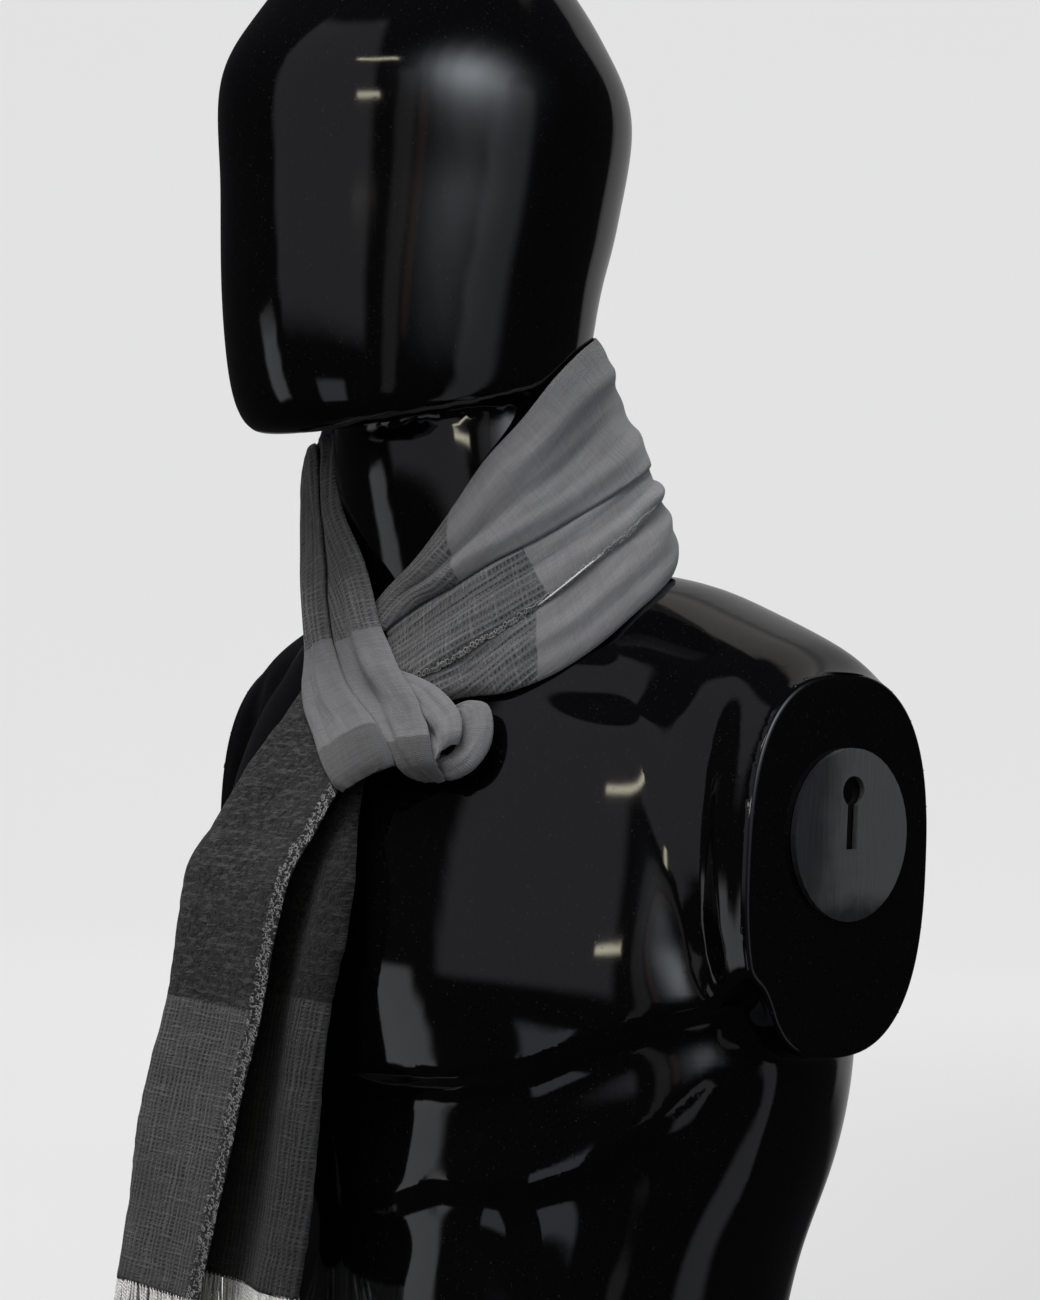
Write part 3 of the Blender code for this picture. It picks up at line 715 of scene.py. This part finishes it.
# soft folds along a pleat: place across it, wander, width, height, start and end along it
pleatFolds = {
    "band_upper": (
        (0.30, 0.05, 0.10, 1.3, 0.1, 0.6), (0.55, 0.04, 0.07, -1.1, 0.05, 0.5),
        (0.80, 0.03, 0.08, 0.9, 0.0, 0.8),
    ),
    "band_middle": ((0.35, 0.05, 0.10, 1.0, 0.0, 0.9), (0.62, 0.05, 0.08, -0.8, 0.1, 0.8)),
    "band_lower": ((0.30, 0.05, 0.09, 0.9, 0.0, 0.7), (0.60, 0.06, 0.10, 1.1, 0.1, 0.9)),
    "loop_outer": ((0.45, 0.06, 0.16, 1.2, 0.1, 0.9), (0.75, 0.05, 0.10, -0.7, 0.5, 1.0)),
    "loop_inner": (
        (0.35, 0.06, 0.16, 1.2, 0.1, 0.8), (0.62, 0.05, 0.10, -0.9, 0.5, 1.0),
        (0.8, 0.03, 0.1, 1.0, 0.6, 1.0),
    ),
    "loop_turn": ((0.35, 0.08, 0.13, 1.5, 0.2, 1.0), (0.68, 0.05, 0.10, -1.2, 0.3, 1.0)),
    "loop_curl": ((0.45, 0.12, 0.2, 1.2, 0.0, 1.0),),
}
# fine creases, and how high the folds are and how fast both rise from an edge
creasing = {"height": 1.15, "along": 16.0, "across": 6.0, "folds": 1.5, "edge": 4}


def roundNeck(angle, radius, height):
    turn = math.radians(angle)
    return (radius * math.sin(turn), neckAxis - radius * math.cos(turn), height)


def bandSections(name):
    return [(*roundNeck(*row[0:3]), *roundNeck(*row[3:6]), row[6]) for row in bandRows[name]]


def pleatLines(sections):
    along, across = sheetLook["stepsARow"] * (len(sections) - 1), sheetLook["across"]
    rows = [smoothRow(sections, i / sheetLook["stepsARow"]) for i in range(along + 1)]
    edges = [(Vector(row[0:3]), Vector(row[3:6]), row[6]) for row in rows]
    lines = []
    for i, (first, second, swell) in enumerate(edges):
        before, after = edges[max(i - 1, 0)], edges[min(i + 1, along)]
        way = (after[0] + after[1]) - (before[0] + before[1])
        out = way.cross(second - first).normalized()
        if out.dot(fromNeck((first + second) / 2)) < 0:
            out = -out
        line = []
        for j in range(across + 1):
            side = abs(2 * (j / across) - 1)
            rolled = max(0, (side - roll["start"]) / (1 - roll["start"])) ** 2
            up = swell * (1 - side**2) - roll["deep"] * rolled
            line.append(first.lerp(second, j / across) + out * up)
        lines.append(line)
    return lines


def smoothBump(t):
    # rises to 1 and falls again
    if t <= 0 or t >= 1:
        return 0.0
    return min(1.0, 4 * t, 4 * (1 - t)) ** 0.7


def puffed(lines, upAt):
    # moves every point along its normal
    return [
        [point + normals[j] * upAt(point, i, j) for j, point in enumerate(line)]
        for i, (line, normals) in enumerate(zip(lines, gridNormals(lines)))
    ]


def folded(name, lines, seed):
    rows, columns = len(lines) - 1, len(lines[0]) - 1

    def foldAt(point, i, j):
        t, s, lift = i / rows, j / columns, 0.0
        for centre, wander, width, height, start, end in pleatFolds[name]:
            middle = centre + wander * math.sin(t * 9 + seed + centre * 20)
            fade = smoothBump((t - start) / (end - start))
            lift += creasing["folds"] * height * math.exp(-(((s - middle) / width) ** 2)) * fade
        spot = Vector((s * columns / creasing["across"], t * rows / creasing["along"], seed))
        lift += noise.noise(spot) * creasing["height"]
        return lift * min(1.0, creasing["edge"] * s, creasing["edge"] * (1 - s))

    return puffed(lines, foldAt)


# sheets: nodes that each replaces, flat width and length, changes of weave, and for a knotted
# edge the row that gives its place, and its width
# the hem weave at the ends of the loops is painted shade where the cloth turns under
sheets = {
    "lowerPleat": {
        "nodes": ("band_lower",), "flat": (45, 375), "weave": ((0, 0, "mesh"), (62, 0.25, "fine")),
    },
    "middlePleat": {
        "nodes": ("band_middle", "loop_outer"), "flat": (33, 600), "knotted": (20, 2.2),
        "weave": ((0, 0, "mesh"), (68, -0.25, "fine"), (400, 0, "mesh"), (504, 0, "fine"), (571, 0, "hem")),
    },
    "upperPleat": {
        "nodes": ("band_upper", "loop_inner"), "flat": (40, 602),
        "weave": ((0, 0, "mesh"), (64, 0.55, "fine"), (400, 0, "mesh"), (505, 0, "fine"), (577, 0, "hem")),
    },
    "loopTurn": {"nodes": ("loop_turn",), "flat": (24, 75), "weave": ((0, 0, "fine"),)},
    "loopCurl": {"nodes": ("loop_curl",), "flat": (16, 60), "weave": ((0, 0, "fine"), (44, 0, "hem"))},
}


def layPleats():
    # every pleat's grid, laid on its node and clear of those under it
    laid, under = {}, []
    for order, (name, band) in enumerate(layers):
        sections = bandSections(name) if name in bandRows else list(loopRows[name])
        if band:
            sections.insert(0, bandSections(band)[-1])
        lines = folded(name, seatOn(pleatLines(sections), name), order * 3.7)
        laid[name] = keepClear(lines, under, sheetLook["gap"] + sheetLook["thick"] / 2)
        probe = clothFrom("probe", laid[name])
        under.append(treeOf(applied(probe)))
        bpy.data.objects.remove(probe)
    return laid


def makePleats():
    laid, made = layPleats(), {}
    for name, sheet in sheets.items():
        lines = list(laid[sheet["nodes"][0]])
        for node in sheet["nodes"][1:]:
            lines += laid[node][2:]  # its first rows lie on the band's last ones
        piece = clothFrom(name, lines)
        edge = None
        if "knotted" in sheet:
            row, wide = sheet["knotted"]
            edge = (runOf(lines[row])[-1], wide)
        dress(piece, clothMaterial(name + "Wool", sheet["weave"], edge))
        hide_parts(*sheet["nodes"])
        wide, long = sheet["flat"]
        made[name] = lines
        print(name, len(piece.data.polygons))
    return made


# height, far and near end, front and back, on the body's axes
tailRows = {
    "tail_front": (
        (361, -31, 18, -111.5, -105), (350, -35, 28, -117, -109.5), (338, -38, 34, -125, -116),
        (326, -42, 31, -132, -123), (312, -48, 27, -138, -128), (298, -54, 23, -144, -131),
        (279, -61, 19, -153, -138), (250, -62, 15, -157, -142), (220, -67, 10, -158, -143),
        (190, -78, 0, -158, -143), (160, -85, -8, -158, -143), (130, -90, -18, -157, -142),
        (92, -99, -30, -156, -141),
    ),
    "tail_back": (
        (327, -10, 27, -121, -115.2), (315, -16, 29, -125, -117.1), (300, -25, 33, -129, -123),
        (278, -33, 41, -136, -128), (256, -39, 42, -140, -130), (233, -46, 36, -141, -130),
        (208, -53, 31, -141, -129), (178, -61, 28, -140, -128), (136, -71, 22, -138, -126),
        (99, -80, 14, -137, -124),
    ),
}
# fold pattern of a tail: place across it and depth, from its selvedge
foldShapes = {
    "tail_front": (
        (0.00, 0.14), (0.12, 0.02), (0.45, 0.08), (0.80, 0.02), (0.97, 0.10),
        (1.00, 0.26), (0.93, 0.40), (0.60, 0.42), (0.25, 0.38), (0.15, 0.52),
        (0.25, 0.68), (0.55, 0.72), (0.92, 0.80), (0.96, 0.98),
    ),
    "tail_back": (
        (0.80, 0.30), (0.52, 0.40), (0.38, 0.34), (0.24, 0.02), (0.08, 0.02),
        (0.00, 0.20), (0.04, 0.42), (0.30, 0.62), (0.70, 0.60), (0.93, 0.66),
        (0.97, 0.82), (0.85, 0.96), (0.40, 1.00),
    ),
}
farShift = {"tail_front": (0, 0, 0, 0, 1, 2, 3, 4, 5, 5, 4, 4, 5)}  # draws the far fold in
tailLook = {"along": 110, "across": 120, "ripple": 0.5, "size": (26, 5.5, 60), "sheen": 0.08}


def tailLine(name, place, across):
    rows = tailRows[name]
    if name in farShift:
        rows = [(row[0], row[1] + shift, *row[2:]) for row, shift in zip(rows, farShift[name])]
    height, far, near, front, back = smoothRow(rows, min(place, tableEnd(rows)))
    folds = foldShapes[name]
    line = []
    for j in range(across + 1):
        u, v = smoothRow(folds, min((len(folds) - 1) * j / across, tableEnd(folds)))
        line.append(Vector((near + (far - near) * u, front + (back - front) * v, height)))
    return line


def makeTail(name, node, changes, selvedge, depth):
    last, along = len(tailRows[node]) - 1, tailLook["along"]
    lines = [tailLine(node, last * i / along, tailLook["across"]) for i in range(along + 1)]
    wide, high, turn = tailLook["size"]

    def rippleAt(point, i, j):
        return noise.noise(Vector((point.x / wide, point.z / high, j / turn))) * tailLook["ripple"]

    rippled = puffed(lines, rippleAt)
    piece = clothFrom(name, rippled)
    dress(piece, clothMaterial(name + "Wool", changes, selvedge, depth, tailLook["sheen"]))
    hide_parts(node)
    print(name, len(piece.data.polygons))
    return piece, rippled


fringeLook = {
    "count": 122, "long": 60, "radius": 0.72, "kinds": 6, "steps": 7, "lean": (0.5, 0.4),
    "sway": 0.35, "tip": 0.4, "tuck": 1.0, "shortest": 0.86, "hemSteps": 400,
    "colour": (0.88, 0.86, 0.81), "twist": 1.6,
}
stitchLook = {
    "pitch": 1.15, "loop": 1.15, "radius": 0.25, "kinds": 5, "off": 0.1, "in": 0.2, "crowd": 1.6,
    "colour": (0.26, 0.26, 0.25), "twist": 0.9,
}
looseThread = {
    "from": 30, "to": 42, "rise": 0.9, "off": 0.2, "radius": 0.42,
    "colour": (0.62, 0.60, 0.58), "twist": 1.1,
}


def drawn(shape, moves):
    # draws the shape's only face out into a tube, and returns its end
    face = shape.faces[:][0]
    for move in moves:
        face = bmesh.ops.extrude_discrete_faces(shape, faces=[face])["faces"][0]
        bmesh.ops.translate(shape, verts=face.verts, vec=move)
    return face


def strandKind(chance):
    # one hanging yarn, drawn down in steps that stray
    look = fringeLook
    shape = bmesh.new()
    bmesh.ops.create_circle(shape, cap_ends=True, segments=6, radius=look["radius"])
    lean = Vector([chance.gauss(0, spread) for spread in look["lean"]] + [0])
    curl, steps = chance.uniform(0, anyTurn), look["steps"]
    drop = Vector((0, 0, -look["long"] / steps))
    face = drawn(shape, [
        lean + Vector((math.cos(curl + k), math.sin(curl + k), 0)) * look["sway"] + drop
        for k in range(steps)
    ])
    centre = face.calc_center_median()
    for vert in face.verts:
        vert.co = centre + (vert.co - centre) * look["tip"]
    bmesh.ops.recalc_face_normals(shape, faces=shape.faces)
    return meshFrom("strand", shape)


def scatter(name, kinds, places):
    # copies of a few small shapes, as one piece
    shape = bmesh.new()
    for kind, place in places:
        start = len(shape.verts)
        shape.from_mesh(kinds[kind])
        shape.verts.ensure_lookup_table()
        bmesh.ops.transform(shape, matrix=Matrix.Scale(mm, 4) @ place, verts=shape.verts[start:])
    return newPiece(name, shape)


def makeFringe(name, node, tail, seed):
    chance, look = random.Random(seed), fringeLook
    kinds = [strandKind(chance) for _ in range(look["kinds"])]
    steps, count = look["hemSteps"], look["count"]
    hem = tailLine(tail, len(tailRows[tail]), steps)
    places = []
    for k in range(count):
        spot = hem[round(steps * (k + 0.5) / count)] + Vector((0, 0, look["tuck"]))
        turn = Matrix.Rotation(chance.uniform(0, anyTurn), 4, "Z")
        scale = Matrix.Diagonal((1, 1, chance.uniform(look["shortest"], 1.0), 1))
        places.append((k % len(kinds), Matrix.Translation(spot) @ turn @ scale))
    piece = scatter(name, kinds, places)
    dress(piece, yarnMaterial(name + "Yarn", look["colour"], look["twist"]))
    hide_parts(node)
    print(name, len(piece.data.polygons))
    return piece


def stitchKind(chance):
    # one knotted loop of yarn, lying flat
    shape = bmesh.new()
    bmesh.ops.create_circle(shape, segments=4, radius=stitchLook["radius"])
    turned(shape, Matrix.Rotation(math.pi / 2, 3, "X"))
    bmesh.ops.translate(shape, verts=shape.verts, vec=(stitchLook["loop"], 0, 0))
    bmesh.ops.spin(
        shape, geom=shape.edges[:], cent=(0, 0, 0), axis=(0, 0, 1), angle=2 * math.pi,
        steps=8, use_merge=True, use_duplicate=False,
    )
    bmesh.ops.scale(shape, verts=shape.verts, vec=(1, chance.uniform(0.45, 0.8), 1))
    tilt = Matrix.Rotation(chance.uniform(-0.5, 0.5), 3, "X")
    turned(shape, tilt @ Matrix.Rotation(chance.uniform(0.2, 1.2), 3, "Z"))
    bmesh.ops.recalc_face_normals(shape, faces=shape.faces)
    return meshFrom("stitch", shape)


def makeStitches(name, lines, edge, facing, span, wide, seed):
    # edge is 0 or -1, span the part of it that is stitched, wide how far in the loops reach
    chance, look = random.Random(seed), stitchLook
    kinds = [stitchKind(chance) for _ in range(look["kinds"])]
    inner = 1 if edge == 0 else -2
    normals = gridNormals(lines)
    rows = [i for i in range(len(lines)) if span[0] <= i / (len(lines) - 1) <= span[1]]
    places, carried = [], 0.0
    for a, b in zip(rows, rows[1:]):
        along = lines[b][edge] - lines[a][edge]
        x = along.normalized()
        z = normals[a][edge]
        z = (z - x * z.dot(x)).normalized()
        if z.dot(Vector(facing)) < 0:
            z = -z
        turn = Matrix((x, z.cross(x), z)).transposed().to_4x4()
        inward = (lines[a][inner] - lines[a][edge]).normalized()
        off = z * (sheetLook["thick"] / 2 + look["off"])
        carried += along.length
        while carried > look["pitch"]:
            carried -= look["pitch"]
            depth = look["in"] + wide * chance.random() ** look["crowd"]
            spot = lines[b][edge] - x * carried + off + inward * depth
            places.append((chance.randrange(len(kinds)), Matrix.Translation(spot) @ turn))
    piece = scatter(name, kinds, places)
    dress(piece, yarnMaterial(name + "Yarn", look["colour"], look["twist"]))
    print(name, len(places))
    return piece


def makeLooseThread(name, lines, facing):
    # a pale thread that has worked loose along the edge of a pleat
    look = looseThread
    first, last = look["from"], look["to"]
    points = []
    for i in range(first, last + 1):
        lift = look["rise"] * math.sin(math.pi * (i - first) / (last - first))
        points.append(lines[i][-1] + Vector(facing) * (sheetLook["thick"] / 2 + look["off"] + lift))
    shape = bmesh.new()
    bmesh.ops.create_circle(shape, cap_ends=True, segments=6, radius=look["radius"])
    turned(shape, (points[1] - points[0]).to_track_quat("Z", "Y").to_matrix())
    bmesh.ops.translate(shape, verts=shape.verts, vec=points[0])
    drawn(shape, [b - a for a, b in zip(points, points[1:])])
    bmesh.ops.recalc_face_normals(shape, faces=shape.faces)
    bmesh.ops.scale(shape, verts=shape.verts, vec=(mm, mm, mm))
    piece = newPiece(name, shape)
    dress(piece, yarnMaterial(name + "Yarn", look["colour"], look["twist"]))
    print(name, len(piece.data.polygons))


view = {
    "eye": (1.065871, -0.907426, 0.357566), "target": (-0.006428, -0.00766, 0.382),
    "roll": 2.5, "lens": 84.28,
}
# soft lights that the lacquer doesn't mirror
lights = {
    "top": {"at": (0.3, -1.0, 2.3), "size": (1.2, 1.2), "power": 52},
    "front": {"at": (0.2, -2.2, 0.9), "size": (1.2, 1.2), "power": 10},
    "floorGlow": {"at": (-0.9, 1.2, 2.6), "size": (2.0, 2.0), "power": 55},
}
lightsAim = (0, -0.05, 0.4)
paleTone = (0.755, 0.755, 0.765)  # of the surround that the camera sees
dimTone = (0.02, 0.02, 0.022)  # of the room that the lacquer mirrors
# its panels: first and last angle round (0 in front, 90 at the left side), lowest and highest
# angle, softness, brightness and tint
room = (
    (-17, 52, -7, 62, 3, 0.34, (1.0, 1.0, 1.08)),
    (-180, -124, -12, 46, 5, 0.34, (1.0, 1.0, 1.0)),
    (64, 73, -30, 22, 2, 0.20, (1.0, 0.98, 1.0)),
    (75, 79, -4, 12, 1.5, 0.20, (1.0, 0.45, 0.3)),
    (108, 127, -42, 16, 3, 0.34, (0.95, 0.97, 1.05)),
    (40, 64, 28.6, 30.6, 0.8, 9.0, (1.0, 0.94, 0.72)),
    (43, 56, 6.0, 8.0, 0.8, 9.0, (1.0, 0.94, 0.72)),
    (-42, -26, -30, -6, 2, 0.9, (0.95, 0.97, 1.0)),
    (8, 34, -42, -22, 2, 0.6, (0.9, 0.95, 1.1)),
    (-180, -100, 48, 80, 4, 0.5, (1.0, 0.96, 0.88)),
    (150, 180, 48, 80, 4, 0.5, (1.0, 0.96, 0.88)),
)
window = {"round": 98, "up": 20, "wide": 17, "tall": 13, "bright": 5.0, "tint": (0.86, 0.93, 1.0)}
# paper that runs level under the bust and turns up far behind it; it glows, and its glow is painted light,
# paler far off and dimmer to one side
sweepLook = {
    "wide": 8.0, "level": 3.0, "bend": 3.0, "radius": 2.2, "turn": 50, "along": 0.64, "across": 0.77,
    "near": (0.585, 0.584, 0.586), "aside": (0.47, 0.469, 0.471), "far": (0.69, 0.689, 0.69),
    "dark": (0.15, 0.15, 0.15), "pale": (0.16, 0.16, 0.16),
}


def sweepPart(name, first, last, steps, material):
    look = sweepLook
    level, bend, radius = look["level"], look["bend"], look["radius"]
    shape = bmesh.new()
    bmesh.ops.create_grid(shape, x_segments=8, y_segments=steps, size=0.5)
    for vert in shape.verts:
        run = first + (last - first) * (vert.co.y + 0.5)
        turn = share((run - level) / bend) * math.pi / 2
        rise = radius * (1 - math.cos(turn)) + max(0.0, run - level - bend)
        deep = min(run, level) + radius * math.sin(turn)
        vert.co = Vector((vert.co.x * look["wide"], deep, rise))
    turned(shape, Matrix.Rotation(math.radians(look["turn"]), 3, "Z"))
    part = inScene(name, meshFrom(name, shape))
    dress(part, material)
    part.visible_glossy = False  # it doesn't show in the lacquer
    part.visible_diffuse = False  # or light the cloth from below


def makeSweep():
    look = sweepLook
    material, tree, shader = newMaterial("palePaper", {
        "Specular IOR Level": 0.1, "Roughness": 0.9, "Emission Strength": 1.0,
    })
    place = objectPlace(tree)
    x, y = axisOf(tree, place, "X", 1), axisOf(tree, place, "Y", 1)
    along, across = look["along"], look["across"]
    # painted light: the paper's glow, which is no lamp, grows paler away from the bust and dimmer to one side
    far = step(tree, y * along - x * across, 0.3, 3.0)  # paler away from the bust
    aside = step(tree, x * along + y * across, -0.4, 0.7)  # and dimmer to one side
    near = mixed(tree, aside, look["near"], look["aside"])
    grain = noiseAt(tree, place, 3.0)
    feed(shader, "Base Color", mixed(tree, grain, look["dark"], look["pale"]))
    feed(shader, "Emission Color", mixed(tree, far, near, look["far"]))
    sweepPart("paleFloor", -4.0, 1.2, 12, material)
    sweepPart("paleSweep", 1.2, 9.5, 60, material)


def makeRoom():
    # a pale surround for the eye, and a dim room with lamps for the lacquer to mirror
    world = bpy.data.worlds.new("studio")
    world.use_nodes = True
    tree = world.node_tree
    way = nodeOf(tree, "ShaderNodeTexCoord", output="Generated")
    x, y, z = [axisOf(tree, way, axis, 1) for axis in "XYZ"]
    angle = worked("ARCTAN2", x, y * -1.0) * (180 / math.pi)
    up = worked("ARCSINE", z) * (180 / math.pi)

    def added(light, tint, amount):
        parts = [light, scaled(tree, tint, amount)]
        return nodeOf(tree, "ShaderNodeVectorMath", {"operation": "ADD"}, parts)

    def between(value, low, high, soft):
        return step(tree, value, low - soft, low + soft) * step(tree, value, high + soft, high - soft)

    glow = dimTone
    for first, last, low, high, soft, bright, tint in room:
        lit = between(angle, first, last, soft) * between(up, low, high, soft)
        glow = added(glow, tint, lit * bright)
    side = (angle - window["round"]) / window["wide"]
    tall = (up - window["up"]) / window["tall"]
    shine = worked("EXPONENT", (side * side + tall * tall) * -1.0)
    glow = added(glow, window["tint"], shine * window["bright"])
    seen = nodeOf(tree, "ShaderNodeLightPath", output="Is Camera Ray")
    feed(tree.nodes["Background"], "Color", mixed(tree, seen, glow, paleTone))
    bpy.context.scene.world = world


def makeLights():
    for name, light in lights.items():
        lamp = bpy.data.lights.new(name, "AREA")
        lamp.shape = "RECTANGLE"
        lamp.size, lamp.size_y = light["size"]
        lamp.energy = light["power"]
        holder = inScene(name, lamp)
        holder.location = light["at"]
        aim = Vector(lightsAim) - Vector(light["at"])
        holder.rotation_euler = aim.to_track_quat("-Z", "Y").to_euler()
        holder.visible_glossy = False
    bpy.context.scene.view_settings.view_transform = "Standard"


def makeCamera():
    lens = bpy.data.cameras.new("photoCamera")
    lens.lens = view["lens"]
    camera = inScene("photoCamera", lens)
    look = (Vector(view["target"]) - Vector(view["eye"])).to_track_quat("-Z", "Y")
    camera.rotation_mode = "QUATERNION"
    camera.rotation_quaternion = look @ Matrix.Rotation(math.radians(view["roll"]), 4, "Z").to_quaternion()
    camera.location = view["eye"]
    bpy.context.scene.camera = camera


makeCamera()
makeSweep()
makeRoom()
makeLights()
makeBust()
plate = plateMaterial()
for node in ("arm_plate_left", "arm_plate_right"):
    dress(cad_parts[node], plate)
middleLines = makePleats()["middlePleat"]
frontTail, frontLines = makeTail("frontTail", "tail_front", ((0, 0, "marl"), (151, 0, "mesh")), (0, 7.0), 1.0)
# the back tail's colour is darkened to 0.42 as painted shade, for the shadow that it hangs in
backTail, _ = makeTail("backTail", "tail_back", ((0, 0, "marl"), (104, 0, "mesh")), None, 0.42)
frontFringe = makeFringe("frontFringe", "fringe_front", "tail_front", 3)
backFringe = makeFringe("backFringe", "fringe_back", "tail_back", 8)
frontStitches = makeStitches("frontTailStitches", frontLines, 0, (0.5, -1, 0), (0.15, 1.0), 6.0, 5)
makeStitches("bandStitches", middleLines, -1, (0.8, -0.6, 0), (0.0, 0.24), 1.3, 6)
makeLooseThread("looseThread", middleLines, (0.8, -0.6, 0.2))
